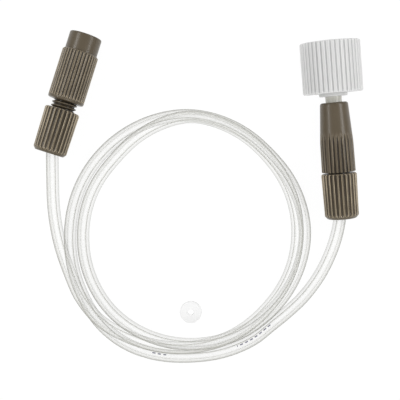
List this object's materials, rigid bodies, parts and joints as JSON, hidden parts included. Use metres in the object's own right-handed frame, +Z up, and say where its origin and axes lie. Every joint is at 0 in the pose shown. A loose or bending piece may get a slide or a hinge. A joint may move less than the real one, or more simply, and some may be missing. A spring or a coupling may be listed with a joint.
{
  "type": "gas line connector",
  "caption": "Gas line connector: a coiled clear tube with a fluted screw fitting at each end, a swivelling coupling nut and a loose sealing washer",
  "frame": {"origin": "middle of the box around the fittings and the washer in plan, at table height", "axes": "+Z up from the table that the set lies on, +Y away from the viewer along the fittings, +X to the right, from the plain fitting to the one with the coupling nut"},
  "size_m": [0.0831, 0.085, 0.0161],
  "materials": {
    "brown_plastic": "moulded, half gloss, grey-brown",
    "ferrule_plastic": "turned, half gloss, straw-coloured",
    "pale_plastic": "moulded, slightly translucent, pale grey-beige",
    "white_plastic": "moulded, translucent milky white",
    "washer_plastic": "cut from sheet, matt milky white",
    "clear_tube": "extruded, clear and smooth"
  },
  "bodies": {
    "line": {"left_adapter": "brown_plastic", "right_adapter": "brown_plastic", "swivel_nipple": "pale_plastic", "sealing_washer": "washer_plastic", "left_tube_end": "clear_tube", "right_tube_end": "clear_tube", "left_tube": "clear_tube", "right_tube": "clear_tube", "tube_coil": "clear_tube"},
    "left_ferrule": {"left_ferrule": "ferrule_plastic"},
    "left_nut": {"left_nut": "brown_plastic"},
    "right_ferrule": {"right_ferrule": "ferrule_plastic"},
    "right_nut": {"right_nut": "brown_plastic"},
    "coupling_nut": {"coupling_nut": "white_plastic"}
  },
  "joints": [
    {"name": "left_nut_travel", "type": "slide", "parent": "line", "child": "left_ferrule", "axis": [-0.3007, -0.9537, 0], "range_m": [0, 0.0057], "deforming": ["left_tube"]},
    {"name": "left_nut_turn", "type": "hinge", "parent": "left_ferrule", "child": "left_nut", "pos_m": [-0.03377, 0.01945, 0.00463], "axis": [-0.3007, -0.9537, 0], "range_deg": [0, 2262.1]},
    {"name": "right_nut_travel", "type": "slide", "parent": "line", "child": "right_ferrule", "axis": [0.0881, -0.9909, -0.1016], "range_m": [0, 0.0076], "deforming": ["right_tube"]},
    {"name": "right_nut_turn", "type": "hinge", "parent": "right_ferrule", "child": "right_nut", "pos_m": [0.03565, 0.0016, 0.00539], "axis": [0.0881, -0.9909, -0.1016], "range_deg": [0, 3016.1]},
    {"name": "coupling_nut_spin", "type": "hinge", "parent": "line", "child": "coupling_nut", "pos_m": [0.03391, 0.02122, 0.0074], "axis": [0.0881, -0.9909, -0.1016], "continuous": true}
  ],
  "couplings": [
    {"joint": "left_nut_turn", "follows": "left_nut_travel", "rad_per_m": 6926.3},
    {"joint": "right_nut_turn", "follows": "right_nut_travel", "rad_per_m": 6926.3}
  ]
}
